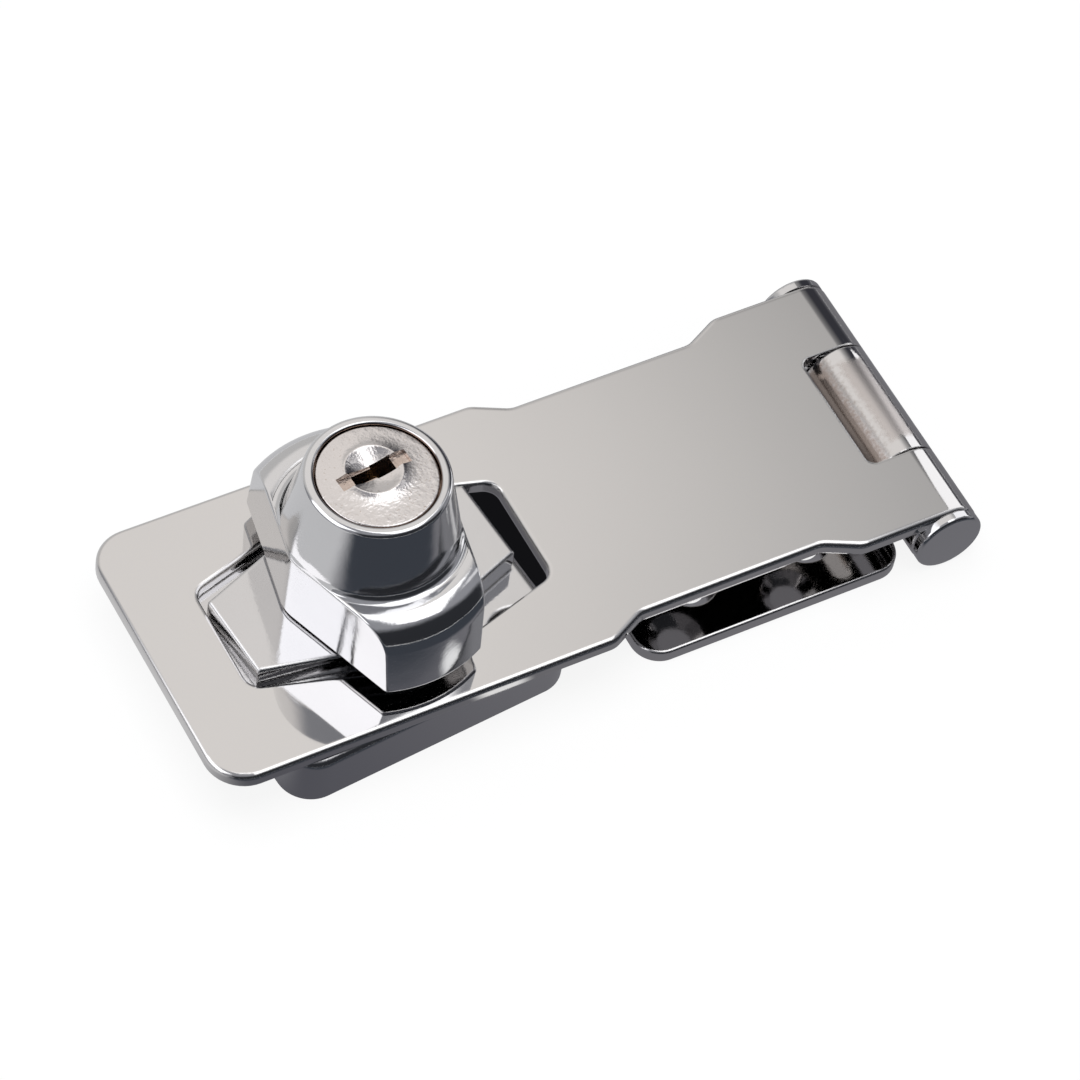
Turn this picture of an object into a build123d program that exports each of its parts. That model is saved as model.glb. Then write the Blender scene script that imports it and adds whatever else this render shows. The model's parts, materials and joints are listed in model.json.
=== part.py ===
from build123d import *
from math import cos, pi, radians, sin, tan
import os

# Keyed door hasp: a chromed strap hinged on a screw-down leaf, held down by a turn-knob key lock.
# Millimetres, +Z up from the mounting plane, +X from the lock end to the hinge. The origin is on the
# mounting plane, midway along and across the hasp. The lock stands in the strap's slot, turned a few
# degrees as it rests there, and its knob lies crosswise, which traps the strap.

# Sheet metal
sheet = 1.8                  # thickness of the strap and of the leaf
strap_edge = 0.7             # rounding that the press leaves along the strap's upper edges
leaf_edge = 0.4

# Hinge
hasp_length = 108.6          # lock end of the strap to the back of its knuckles
pin_diameter = 5.8
pin_gap = 0.1                # radial clearance of the pin in the knuckles
curl = 300                   # degrees that each knuckle wraps round the pin
tongue_width = 17.8          # width of the leaf's middle knuckle
knuckle_gap = 0.3            # clearance between the middle knuckle and the outer ones
head_diameter = 9.5
head_thickness = 1.3
head_edge = 0.5
spigot_diameter = 3.6        # reduced end of the pin, which the rear cap is pressed on
spigot_length = 0.7

# Strap, with distances along it taken from the hinge axis towards the lock
strap_width = 40.0
strap_corner = 5.2
waist_width = 35.2
waist_start = 17.9
waist_end = 44.2
waist_step = 4.9             # length of each step between the full width and the waist
waist_rounding = 3.0
window_start = 5.9           # near edge of the window that clears the middle knuckle
window_corner = 1.4

# Slot in the strap, an elongated hexagon
slot_end_margin = 9.6        # metal between the slot and the strap's lock end
slot_length = 42.4
slot_end_width = 15.5
slot_flare = 0.29            # slope of its long sides towards the middle
slot_corner = 2.2
slot_middle_corner = 8.0
slot_edge = 0.5              # rounding of its upper rim

# Leaf, screwed to the door frame
leaf_width = 40.0
leaf_start = 5.1             # distance from the hinge axis to its near edge
leaf_gap = 10.4              # from the lock case to the leaf's far edge
leaf_corner = 3.8
leaf_hole_diameter = 4.5
leaf_sink_diameter = 7.4
leaf_hole_pitch_x = 17.0
leaf_hole_pitch_y = 23.0
sink_angle = 90

# Lock case
lock_yaw = 5.0               # degrees that the lock is turned in the slot
lock_shift = 1.75            # distance of the lock's axis past the slot's centre, lengthways
lock_offset = 0.3            # and across
case_gap = 0.2               # play between the case and the strap above it
case_length = 41.2
case_width = 39.3
case_corner = 4.5
case_wall = 1.7
case_roof = 1.9
case_edge = 1.2
boss_margin = 2.4            # gap from the slot's edge in to the boss
boss_rise = 1.9              # height of the boss above the strap
boss_roof = 1.6
boss_edge = 0.35
post_diameter = 10.0
case_hole_inset = 5.3        # from the case's long sides in to its mounting holes
case_hole_diameter = 4.2
case_sink_diameter = 8.0
rib_thickness = 1.6
rib_lift = 2.0               # from the mounting plane up to the ribs
hub_wall = 4.42
hub_neck_wall = 1.72         # wall of the hub's upper part, inside the boss
hub_lift = 3.4

# Knob
knob_gap = 0.35              # seam between the boss and the knob
knob_reach = 17.95           # radius of the wings' ends at their foot
knob_half_width = 11.6       # from the axis to the middle vertex of each side
knob_flare = 0.28            # slope of the four side planes
knob_vertex_rounding = 5.0
wing_height = 10.8
wing_end_draft = 6.0         # degrees
wing_shoulder = 4.4          # rounding between the wings' top and their ends
cone_foot_radius = 11.3
cone_top_radius = 9.15
cone_fillet = 0.9
cone_height = 10.2
rim_rounding = 0.6
spindle_diameter = 16.0
spindle_gap = 0.08           # radial clearance of the spindle in the case
spindle_inset = 0.2          # from the hub's underside down to the spindle's end

# Key plug
plug_diameter = 11.9
plug_gap = 0.06              # radial clearance of the plug in the knob
plug_end_play = 0.1
face_diameter = 15.1
face_gap = 0.25              # ring gap between the face and the rim
face_thickness = 1.9
face_sink = 0.55             # from the rim down to the face's edge
face_dome = 0.3              # height of the face's middle above its edge
face_bulge = 0.08            # how far the face bows between the two
dimple_radius = 3.6
dimple_depth = 0.8
keyway_shift = 0.9           # keyway and dimple lie off the plug's axis, across the keyway
keyway_height = 5.7
keyway_narrow = 1.5          # width of the keyway's one half
keyway_wide = 2.2            # and of its other half
keyway_entry_width = 2.0
keyway_entry_height = 10.4
keyway_entry_depth = 0.7     # below the face's edge
keyway_floor = 3.4           # metal left between the keyway and the plug's shoulder
tail_diameter = 6.8
tail_length = 2.0
peg_throw = 2.0              # distance of the peg from the plug's axis
peg_diameter = 2.0
peg_gap = 0.1
peg_start = 225              # degrees round from the knob's short axis, bolt drawn back

# Wafers and their springs
wafer_cuts = (0.6, -0.4, 0.9, 0.1, -0.7)   # offset of each wafer's window, lowest wafer first
wafer_pitch = 2.6
wafer_first = 5.0            # from the plug's shoulder up to the lowest wafer's middle
wafer_thickness = 0.9
wafer_width = 5.0
wafer_inset = 0.25           # how far the wafers' ends stay inside the plug
wafer_gap = 0.08             # play of a wafer in its slot
window_height = 6.4
window_width = 2.2
tab_start = 1.0              # from the plug's axis along the wafer to its spring tab
tab_length = 1.4
tab_width = 1.6
spring_diameter = 1.5
spring_wire = 0.24           # square wire, across its corners
spring_turns = 3
spring_length = 4.0
pocket_play = 0.15
keeper_lift = 2.0            # from the plug's shoulder up to the retaining wafer's middle
keeper_thickness = 1.0
keeper_width = 4.4
keeper_root = 3.0            # how far it reaches back past the plug's axis
keeper_reach = 0.7           # how far it stands out into the knob's groove
groove_play = 0.2

# Locking bolt, driven across the spindle by the peg
bolt_width = 7.6
bolt_thickness = 2.4
bolt_lift = 5.0              # from the mounting plane
bolt_gap = 0.1               # play of the bolt in its channel
bolt_inset = 0.15            # how far its ends lie inside the spindle when drawn back
notch_play = 0.2
notch_depth = 3.2            # from the hub's bore outwards

# Retaining plate under the spindle, with its two screws
plate_diameter = 21.0
plate_thickness = 1.6
plate_screw_offset = 5.9
plate_screw_diameter = 2.0
plate_screw_head = 3.8
plate_screw_head_height = 0.9
plate_screw_length = 4.6
plate_screw_gap = 0.06
driver_slot_width = 0.6
driver_slot_depth = 0.4

tolerance = 0.01             # for picking edges and corners by their place

# Levels that follow
knuckle_r = pin_diameter / 2 + pin_gap + sheet
hinge_x = hasp_length / 2 - knuckle_r
hinge_z = knuckle_r
strap_top = 2 * knuckle_r
strap_under = strap_top - sheet
case_top = strap_under - case_gap
boss_top = strap_top + boss_rise
knob_under = boss_top + knob_gap
wing_top = knob_under + wing_height
rim_top = wing_top + cone_height
spindle_end = hub_lift - spindle_inset
plate_under = spindle_end - plate_thickness
face_edge_z = rim_top - face_sink
face_under = face_edge_z - face_thickness
bolt_top = bolt_lift + bolt_thickness
channel_top = bolt_top + bolt_gap
bore_floor = channel_top + tail_length
shoulder_z = bore_floor + plug_end_play
keeper_z = shoulder_z + keeper_lift

# Radii and places that follow
lock_end = -hasp_length / 2
slot_x = lock_end + slot_end_margin + slot_length / 2
lock_x = slot_x - lock_shift
leaf_length = hinge_x - leaf_start - (lock_x + case_length / 2 + leaf_gap)
spindle_r = spindle_diameter / 2
hub_bore_r = spindle_r + spindle_gap
hub_r = hub_bore_r + hub_wall
plug_r = plug_diameter / 2
plug_bore_r = plug_r + plug_gap
tail_r = tail_diameter / 2
face_r = face_diameter / 2
recess_r = face_r + face_gap
keeper_r = plug_r + keeper_reach
groove_r = keeper_r + groove_play
case_hole_offset = case_width / 2 - case_hole_inset
wafer_levels = [shoulder_z + wafer_first + wafer_pitch * step for step in range(len(wafer_cuts))]

# The lock's own frame, and the upright plane through its axis along the knob's short side
yaw = radians(lock_yaw)
lock_plane = Plane(
    origin=(lock_x, lock_offset, 0),
    x_dir=(cos(yaw), sin(yaw), 0),
    z_dir=(0, 0, 1),
)
lock_axis = Axis(lock_plane.origin, (0, 0, 1))
section_plane = Plane(origin=lock_plane.origin, x_dir=lock_plane.x_dir, z_dir=-lock_plane.y_dir)

os.makedirs("parts", exist_ok=True)


def knuckle_section(start, turn):
    """Return a knuckle's curled section, from the start angle on round the hinge axis."""
    with BuildSketch() as section:
        with BuildLine():
            outer = CenterArc((hinge_x, hinge_z), knuckle_r, start, turn)
            inner = CenterArc((hinge_x, hinge_z), knuckle_r - sheet, start, turn)
            Line(outer @ 0, inner @ 0)
            Line(outer @ 1, inner @ 1)
        make_face()
    return section.sketch_local


# Slot outline, which the lock's boss repeats at a smaller size
with BuildSketch() as slot_outline:
    slot_half_end = slot_end_width / 2
    slot_half_middle = slot_half_end + slot_flare * slot_length / 2
    Polygon(
        (slot_length / 2, slot_half_end),
        (0, slot_half_middle),
        (-slot_length / 2, slot_half_end),
        (-slot_length / 2, -slot_half_end),
        (0, -slot_half_middle),
        (slot_length / 2, -slot_half_end),
    )
    fillet(vertices().group_by(Axis.X)[1], slot_middle_corner)
    fillet(vertices().group_by(Axis.X)[0] + vertices().group_by(Axis.X)[-1], slot_corner)

# Strap: a plate with a stepped waist, curled down round the pin, with the slot and the window
with BuildPart() as hasp_strap:
    with BuildSketch(Plane.XY.offset(strap_under)):
        with BuildLine():
            strap_half = strap_width / 2
            waist_half = waist_width / 2
            Polyline(
                (lock_end, 0),
                (lock_end, strap_half),
                (hinge_x - waist_end - waist_step, strap_half),
                (hinge_x - waist_end, waist_half),
                (hinge_x - waist_start, waist_half),
                (hinge_x - waist_start + waist_step, strap_half),
                (hinge_x, strap_half),
                (hinge_x, 0),
            )
            mirror(about=Plane.XZ)
        make_face()
        fillet(vertices().group_by(Axis.X)[0], strap_corner)
        inner_columns = vertices().group_by(Axis.X)[2:-1]
        fillet([v for column in inner_columns for v in column], waist_rounding)
    extrude(amount=sheet)
    with BuildSketch(Plane.XY.offset(strap_under)):
        with Locations((slot_x, 0)):
            add(slot_outline.sketch_local)
    extrude(amount=sheet, mode=Mode.SUBTRACT)
    with BuildSketch(Plane.XZ):
        add(knuckle_section(90, -curl))
    extrude(amount=strap_half, both=True)
    upper_face = faces().filter_by(Axis.Z).sort_by(Axis.Z)[-1]
    curl_sides = edges().filter_by(GeomType.CIRCLE).filter_by(Plane.XZ)
    curl_sides = curl_sides.filter_by(lambda e: abs(e.radius - knuckle_r) < tolerance)
    upper_edges = upper_face.outer_wire().edges()
    upper_edges = upper_edges.filter_by(lambda e: e.center().X < hinge_x - tolerance)
    fillet(upper_face.inner_wires()[0].edges(), slot_edge)
    fillet(upper_edges + curl_sides, strap_edge)
    with BuildSketch(Plane.XY):
        window_end = hinge_x + 2 * knuckle_r
        window_half = tongue_width / 2 + knuckle_gap
        with Locations(((hinge_x - window_start + window_end) / 2, 0)):
            Rectangle(window_end - hinge_x + window_start, 2 * window_half)
        fillet(vertices().group_by(Axis.X)[0], window_corner)
    extrude(amount=strap_top, mode=Mode.SUBTRACT)
hasp_strap.part.label = "hasp_strap"

# Leaf: a plate flat on the frame, with a tongue that curls up round the pin as the middle knuckle
with BuildPart() as hinge_leaf:
    with BuildSketch(Plane.XY):
        leaf_x = hinge_x - leaf_start - leaf_length / 2
        with Locations((leaf_x, 0)):
            RectangleRounded(leaf_length, leaf_width, leaf_corner)
    extrude(amount=sheet)
    fillet(faces().sort_by(Axis.Z)[-1].edges(), leaf_edge)
    with BuildSketch(Plane.XY):
        with Locations(((leaf_x + hinge_x) / 2, 0)):
            Rectangle(hinge_x - leaf_x, tongue_width)
    extrude(amount=sheet)
    with BuildSketch(Plane.XZ):
        add(knuckle_section(-90, curl))
    extrude(amount=tongue_width / 2, both=True)
    with Locations(Location((leaf_x, 0, sheet))):
        with GridLocations(leaf_hole_pitch_x, leaf_hole_pitch_y, 2, 2):
            CounterSinkHole(
                leaf_hole_diameter / 2, leaf_sink_diameter / 2, counter_sink_angle=sink_angle
            )
hinge_leaf.part.label = "hinge_leaf"

# Hinge pin with its formed front head, and the cap pressed on its rear end
with BuildPart() as hinge_pin:
    front_plane = Plane(origin=(hinge_x, -strap_half, hinge_z), z_dir=(0, -1, 0))
    with BuildSketch(front_plane):
        Circle(head_diameter / 2)
    extrude(amount=head_thickness)
    fillet(faces().sort_by(Axis.Y)[0].edges(), head_edge)
    with BuildSketch(front_plane):
        Circle(pin_diameter / 2)
    extrude(amount=-strap_width)
    with BuildSketch(front_plane.offset(-strap_width)):
        Circle(spigot_diameter / 2)
    extrude(amount=-spigot_length)
hinge_pin.part.label = "hinge_pin"

with BuildPart() as pin_cap:
    rear_plane = Plane(origin=(hinge_x, strap_half, hinge_z), z_dir=(0, 1, 0))
    with BuildSketch(rear_plane):
        Circle(head_diameter / 2)
    extrude(amount=head_thickness)
    fillet(faces().sort_by(Axis.Y)[-1].edges(), head_edge)
    with BuildSketch(rear_plane):
        Circle(spigot_diameter / 2)
    extrude(amount=spigot_length, mode=Mode.SUBTRACT)
pin_cap.part.label = "pin_cap"

# Lock case: a die-cast box, open below, with the boss that fills the slot and a hub for the knob
with BuildPart() as lock_case:
    with BuildSketch(lock_plane):
        RectangleRounded(case_length, case_width, case_corner)
    extrude(amount=case_top)
    fillet(faces().sort_by(Axis.Z)[-1].edges(), case_edge)
    with BuildSketch(lock_plane.offset(case_top)):
        add(slot_outline.sketch_local)
        offset(amount=-boss_margin)
    extrude(amount=boss_top - case_top)
    fillet(faces().sort_by(Axis.Z)[-1].edges(), boss_edge)
    with BuildSketch(lock_plane):
        RectangleRounded(
            case_length - 2 * case_wall, case_width - 2 * case_wall, case_corner - case_wall
        )
    extrude(amount=case_top - case_roof, mode=Mode.SUBTRACT)
    with BuildSketch(lock_plane):
        add(slot_outline.sketch_local)
        offset(amount=-boss_margin - case_wall)
    extrude(amount=boss_top - boss_roof, mode=Mode.SUBTRACT)
    with BuildSketch(lock_plane.offset(rib_lift)):
        Rectangle(case_length - case_wall, rib_thickness)
        Rectangle(rib_thickness, case_width - case_wall)
    extrude(amount=case_top - case_roof - rib_lift)
    with BuildSketch(lock_plane):
        with GridLocations(2 * case_hole_offset, 2 * case_hole_offset, 2, 2):
            Circle(post_diameter / 2)
    extrude(amount=case_top - case_roof)
    with BuildSketch(lock_plane):
        Circle(hub_r)
    extrude(amount=hub_lift, mode=Mode.SUBTRACT)
    with BuildSketch(lock_plane.offset(hub_lift)):
        Circle(hub_r)
    extrude(amount=case_top - hub_lift)
    with BuildSketch(lock_plane.offset(hub_lift)):
        Circle(hub_bore_r + hub_neck_wall)
    extrude(amount=boss_top - hub_lift)
    with BuildSketch(lock_plane.offset(hub_lift)):
        Circle(hub_bore_r)
    extrude(amount=boss_top - hub_lift, mode=Mode.SUBTRACT)
    with BuildSketch(lock_plane.offset(hub_lift)):
        with PolarLocations((hub_bore_r + notch_depth) / 2, 2, angular_range=180):
            Rectangle(hub_bore_r + notch_depth, bolt_width + 2 * notch_play)
    extrude(amount=bolt_top + notch_play - hub_lift, mode=Mode.SUBTRACT)
    with Locations(lock_plane.offset(case_top)):
        with GridLocations(2 * case_hole_offset, 2 * case_hole_offset, 2, 2):
            CounterSinkHole(
                case_hole_diameter / 2, case_sink_diameter / 2, counter_sink_angle=sink_angle
            )
lock_case.part.label = "lock_case"

# Knob: one turned section carries the spindle, wings, cone and plug bore, and its wings are cut
# to an elongated hexagon by four upright planes
with BuildPart() as turn_knob:
    with BuildSketch(section_plane):
        with BuildLine():
            wing_end_r = knob_reach - wing_height * tan(radians(wing_end_draft))
            groove_half = keeper_thickness / 2 + groove_play
            Polyline(
                (0, spindle_end),
                (spindle_r, spindle_end),
                (spindle_r, knob_under),
                (knob_reach, knob_under),
                (wing_end_r, wing_top),
                (cone_foot_radius, wing_top),
                (cone_top_radius, rim_top),
                (recess_r, rim_top),
                (recess_r, face_under - plug_end_play),
                (plug_bore_r, face_under - plug_end_play),
                (plug_bore_r, keeper_z + groove_half),
                (groove_r, keeper_z + groove_half),
                (groove_r, keeper_z - groove_half),
                (plug_bore_r, keeper_z - groove_half),
                (plug_bore_r, bore_floor),
                (tail_r + plug_gap, bore_floor),
                (tail_r + plug_gap, bolt_lift),
                (0, bolt_lift),
                close=True,
            )
        make_face()
        rim_corners = vertices().group_by(Axis.Y)[-1].sort_by(Axis.X)
        fillet(rim_corners[-1], rim_rounding)
        wing_corners = vertices().filter_by_position(
            Axis.Y, wing_top - tolerance, wing_top + tolerance
        ).sort_by(Axis.X)
        fillet(wing_corners[-1], wing_shoulder)
        fillet(wing_corners[0], cone_fillet)
    revolve(axis=lock_axis)
    with BuildSketch(lock_plane):
        far = 2 * knob_reach
        far_half = knob_half_width - knob_flare * far
        Polygon(
            (knob_half_width, 0),
            (far_half, far),
            (-far_half, far),
            (-knob_half_width, 0),
            (-far_half, -far),
            (far_half, -far),
        )
        fillet(vertices().group_by(Axis.Y)[1], knob_vertex_rounding)
    extrude(amount=rim_top, mode=Mode.INTERSECT)
    with BuildSketch(lock_plane.offset(bolt_lift - bolt_gap)):
        Rectangle(spindle_diameter, bolt_width + 2 * bolt_gap)
    extrude(amount=channel_top - bolt_lift + bolt_gap, mode=Mode.SUBTRACT)
    with BuildSketch(lock_plane.offset(spindle_end)):
        with GridLocations(0, 2 * plate_screw_offset, 1, 2):
            Circle(plate_screw_diameter / 2 + plate_screw_gap)
    extrude(amount=plate_screw_length, mode=Mode.SUBTRACT)
turn_knob.part.label = "turn_knob"

# Key plug: face, barrel, tail and the peg that drives the bolt, with the keyway and wafer slots
with BuildPart() as key_plug:
    with BuildSketch(section_plane):
        with BuildLine():
            face_line = Polyline(
                (0, face_edge_z + face_dome),
                (0, channel_top),
                (tail_r, channel_top),
                (tail_r, shoulder_z),
                (plug_r, shoulder_z),
                (plug_r, face_under),
                (face_r, face_under),
                (face_r, face_edge_z),
            )
            SagittaArc(face_line @ 1, face_line @ 0, face_bulge)
        make_face()
    revolve(axis=lock_axis)
    dish_r = (dimple_radius**2 + dimple_depth**2) / (2 * dimple_depth)
    with Locations(lock_plane.offset(face_edge_z + face_dome - dimple_depth + dish_r)):
        with Locations((0, keyway_shift, 0)):
            Sphere(dish_r, mode=Mode.SUBTRACT)
    peg_plane = lock_plane.rotated((0, 0, peg_start))
    with BuildSketch(peg_plane.offset(bolt_lift + bolt_gap)):
        with Locations((peg_throw, 0)):
            Circle(peg_diameter / 2)
    extrude(amount=bolt_thickness)
    with BuildSketch(lock_plane.offset(face_edge_z - keyway_entry_depth)):
        with Locations((0, keyway_shift)):
            Rectangle(keyway_entry_height, keyway_entry_width)
    extrude(amount=face_thickness, mode=Mode.SUBTRACT)
    with BuildSketch(lock_plane.offset(shoulder_z + keyway_floor)):
        with Locations((0, keyway_shift)):
            Rectangle(keyway_height, keyway_narrow)
        with Locations((keyway_height / 4, keyway_shift)):
            Rectangle(keyway_height / 2, keyway_wide)
    extrude(amount=face_edge_z - shoulder_z, mode=Mode.SUBTRACT)
    for level in wafer_levels:
        slot_height = wafer_thickness + 2 * wafer_gap
        with BuildSketch(lock_plane.offset(level - slot_height / 2)):
            Rectangle(plug_diameter, wafer_width + 2 * wafer_gap)
        extrude(amount=slot_height, mode=Mode.SUBTRACT)
        pocket_height = spring_diameter + 2 * pocket_play
        pocket_start = tab_start - spring_length - pocket_play
        pocket_end = tab_start + tab_length + pocket_play
        with BuildSketch(lock_plane.offset(level - pocket_height / 2)):
            with Locations(((pocket_start + pocket_end) / 2, (wafer_width + tab_width) / 2)):
                Rectangle(pocket_end - pocket_start, tab_width + 2 * pocket_play)
        extrude(amount=pocket_height, mode=Mode.SUBTRACT)
    with BuildSketch(lock_plane.offset(keeper_z - keeper_thickness / 2 - wafer_gap)):
        with Locations(((plug_r - keeper_root) / 2, 0)):
            Rectangle(plug_r + keeper_root + 2 * wafer_gap, keeper_width + 2 * wafer_gap)
    extrude(amount=keeper_thickness + 2 * wafer_gap, mode=Mode.SUBTRACT)
key_plug.part.label = "key_plug"

# Wafers, drawn in as the right key holds them, each with its spring
wafers = []
springs = []
for number, (level, cut) in enumerate(zip(wafer_levels, wafer_cuts), start=1):
    with BuildPart() as wafer:
        with BuildSketch(lock_plane.offset(level - wafer_thickness / 2)):
            Circle(plug_r - wafer_inset)
            Rectangle(plug_diameter, wafer_width, mode=Mode.INTERSECT)
            with Locations((tab_start + tab_length / 2, (wafer_width + tab_width) / 2)):
                Rectangle(tab_length, tab_width)
            with Locations((cut, keyway_shift)):
                Rectangle(window_height, window_width, mode=Mode.SUBTRACT)
        extrude(amount=wafer_thickness)
    wafer.part.label = f"wafer_{number}"
    wafers.append(wafer.part)

    coil_r = (spring_diameter - spring_wire) / 2
    coil_run = spring_length - spring_wire
    coil_start = lock_plane.from_local_coords(
        Vector(tab_start - spring_length + spring_wire / 2, (wafer_width + tab_width) / 2, level)
    )
    with BuildPart() as spring:
        with BuildLine():
            coil = Helix(
                coil_run / spring_turns, coil_run, coil_r,
                center=coil_start, direction=lock_plane.x_dir,
            )
        with BuildSketch(Plane(origin=coil @ 0, z_dir=coil % 0)):
            RegularPolygon(spring_wire / 2, 4)
        sweep(path=coil, is_frenet=True)
    spring.part.label = f"wafer_spring_{number}"
    springs.append(spring.part)

# Retaining wafer, which keeps the plug in the knob
with BuildPart() as plug_keeper:
    with BuildSketch(lock_plane.offset(keeper_z - keeper_thickness / 2)):
        Circle(keeper_r)
        with Locations(((keeper_r - keeper_root) / 2, 0)):
            Rectangle(keeper_r + keeper_root, keeper_width, mode=Mode.INTERSECT)
    extrude(amount=keeper_thickness)
plug_keeper.part.label = "plug_keeper"

# Locking bolt: its ends follow the spindle, and the peg works in its cross slot
with BuildPart() as locking_bolt:
    with BuildSketch(lock_plane.offset(bolt_lift)):
        Circle(spindle_r - bolt_inset)
        Rectangle(spindle_diameter, bolt_width, mode=Mode.INTERSECT)
        peg_u = peg_throw * cos(radians(peg_start))
        peg_v = peg_throw * sin(radians(peg_start))
        swing = peg_throw + peg_v
        with Locations((peg_u, peg_v - swing / 2)):
            SlotCenterToCenter(
                swing, peg_diameter + 2 * peg_gap, rotation=90, mode=Mode.SUBTRACT
            )
    extrude(amount=bolt_thickness)
locking_bolt.part.label = "locking_bolt"

# Retaining plate and its screws
with BuildPart() as retaining_plate:
    with BuildSketch(lock_plane.offset(plate_under)):
        Circle(plate_diameter / 2)
        with GridLocations(0, 2 * plate_screw_offset, 1, 2):
            Circle(plate_screw_diameter / 2 + plate_screw_gap, mode=Mode.SUBTRACT)
    extrude(amount=plate_thickness)
retaining_plate.part.label = "retaining_plate"

plate_screws = []
for number, side in enumerate((-1, 1), start=1):
    with BuildPart() as plate_screw:
        with BuildSketch(lock_plane.offset(plate_under)):
            with Locations((0, side * plate_screw_offset)):
                Circle(plate_screw_head / 2)
        extrude(amount=-plate_screw_head_height)
        with BuildSketch(lock_plane.offset(plate_under - plate_screw_head_height)):
            with Locations((0, side * plate_screw_offset)):
                Rectangle(plate_screw_head, driver_slot_width)
        extrude(amount=driver_slot_depth, mode=Mode.SUBTRACT)
        with BuildSketch(lock_plane.offset(plate_under)):
            with Locations((0, side * plate_screw_offset)):
                Circle(plate_screw_diameter / 2)
        extrude(amount=plate_screw_length)
    plate_screw.part.label = f"plate_screw_{number}"
    plate_screws.append(plate_screw.part)

pieces = [
    hasp_strap.part, hinge_leaf.part, hinge_pin.part, pin_cap.part, lock_case.part,
    turn_knob.part, key_plug.part, *wafers, *springs, plug_keeper.part, locking_bolt.part,
    retaining_plate.part, *plate_screws,
]
for piece in pieces:
    export_step(piece, f"parts/{piece.label}.step")

bolt_travel = 2 * peg_throw * sin(pi / 4)
print(f"bolt travel {bolt_travel:.3f} mm, {bolt_travel / (pi / 2):.4f} mm per radian of the key")
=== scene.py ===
"""Door hasp lock: a chromed strap, its hinge leaf, a low case and a keyed turn knob."""

import json
import logging
from collections.abc import Sequence
from dataclasses import dataclass
from enum import Enum
from math import atan2, cos, degrees, pi, radians, sin, tan

import bmesh
import bpy
import numpy as np
from mathutils import Matrix, Vector

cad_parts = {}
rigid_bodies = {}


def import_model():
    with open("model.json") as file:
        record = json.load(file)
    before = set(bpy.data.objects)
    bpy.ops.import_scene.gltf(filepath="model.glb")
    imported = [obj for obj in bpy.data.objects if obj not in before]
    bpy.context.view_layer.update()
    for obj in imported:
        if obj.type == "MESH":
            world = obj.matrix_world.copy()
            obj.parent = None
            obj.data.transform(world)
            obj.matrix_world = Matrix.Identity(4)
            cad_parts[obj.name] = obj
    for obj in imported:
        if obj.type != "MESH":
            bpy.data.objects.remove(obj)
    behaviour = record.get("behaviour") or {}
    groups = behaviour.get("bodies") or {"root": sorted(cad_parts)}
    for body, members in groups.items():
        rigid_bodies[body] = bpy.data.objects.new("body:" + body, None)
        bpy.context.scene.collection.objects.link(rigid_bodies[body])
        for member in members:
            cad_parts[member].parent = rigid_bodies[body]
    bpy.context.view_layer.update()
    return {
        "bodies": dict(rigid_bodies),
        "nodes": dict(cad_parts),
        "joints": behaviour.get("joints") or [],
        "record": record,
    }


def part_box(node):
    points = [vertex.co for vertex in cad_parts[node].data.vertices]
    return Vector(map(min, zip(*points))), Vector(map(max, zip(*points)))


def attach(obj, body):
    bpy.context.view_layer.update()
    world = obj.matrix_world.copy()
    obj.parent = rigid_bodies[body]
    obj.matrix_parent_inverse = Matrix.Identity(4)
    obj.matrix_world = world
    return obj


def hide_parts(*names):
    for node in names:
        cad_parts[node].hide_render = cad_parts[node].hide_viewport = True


LOG = logging.getLogger("hasp")
MM = 0.001
WHITE = (1.0, 1.0, 1.0)
# Points closer than this are one, in metres.
MERGE = 0.0001 * MM
# Noise values between which haze roughens the metal, haze tints it and pores show.
HAZE_RANGE, TINT_RANGE, PORE_RANGE = (0.3, 0.75), (0.35, 0.7), (0.62, 0.7)
# Size of the hazed places in long ripples, and their reflectance as a share of clean metal's.
HAZE_RIPPLES, HAZED = 6, 0.97

Array = np.ndarray
Pair = tuple[float, float]
Triple = tuple[float, float, float]
Socket = bpy.types.NodeSocket
Piece = bpy.types.Object


class Body(Enum):
    """The bodies of the frame that the remade pieces ride on."""

    KNOB = "knob"
    PLUG = "plug"


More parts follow.
